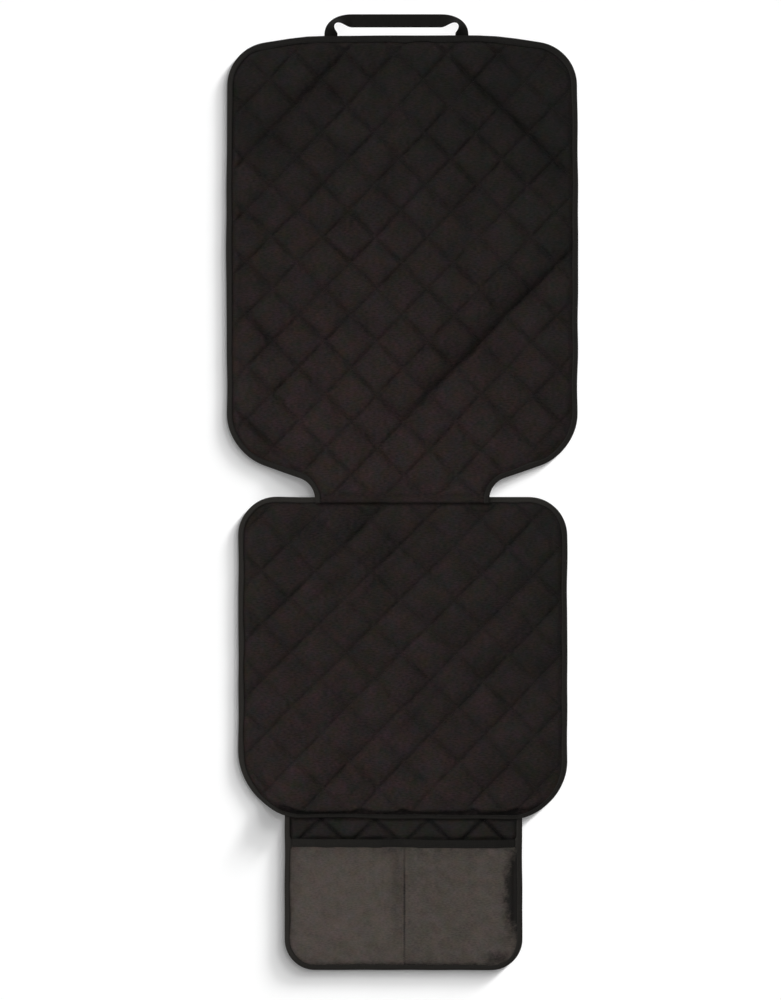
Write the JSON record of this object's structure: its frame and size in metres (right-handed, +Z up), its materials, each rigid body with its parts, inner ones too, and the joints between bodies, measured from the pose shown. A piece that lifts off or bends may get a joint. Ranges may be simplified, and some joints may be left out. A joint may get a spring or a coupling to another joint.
{
  "type": "car seat protector mat",
  "caption": "Quilted mat that lies over a car seat's backrest and cushion, with a front flap, a divided pocket and a webbing strap at its head.",
  "frame": {"origin": "on the floor under the middle of the mat's bounding box, with the mat lying flat and its face up", "axes": "+Y towards the head end with the strap, +X to the right seen from above with the head end up, +Z up out of the quilted face"},
  "size_m": [0.47, 1.2802, 0.0156],
  "materials": {
    "quilted": "matt woven polyester, black-brown, quilted in diamonds",
    "backing": "matt black non-slip net",
    "binding": "matt black ribbed binding tape",
    "pocket": "smooth dark grey-brown woven cloth with a slight sheen",
    "webbing": "matt black woven webbing"
  },
  "bodies": {
    "root": {"back_quilted_cloth": "quilted", "back_nonslip_backing": "backing", "back_binding": "binding", "seat_quilted_cloth": "quilted", "seat_nonslip_backing": "backing", "seat_binding": "binding", "flap_quilted_cloth": "quilted", "flap_nonslip_backing": "backing", "flap_binding": "binding", "pocket_cloth": "pocket", "pocket_hem": "binding", "hanging_strap": "webbing"}
  },
  "joints": []
}
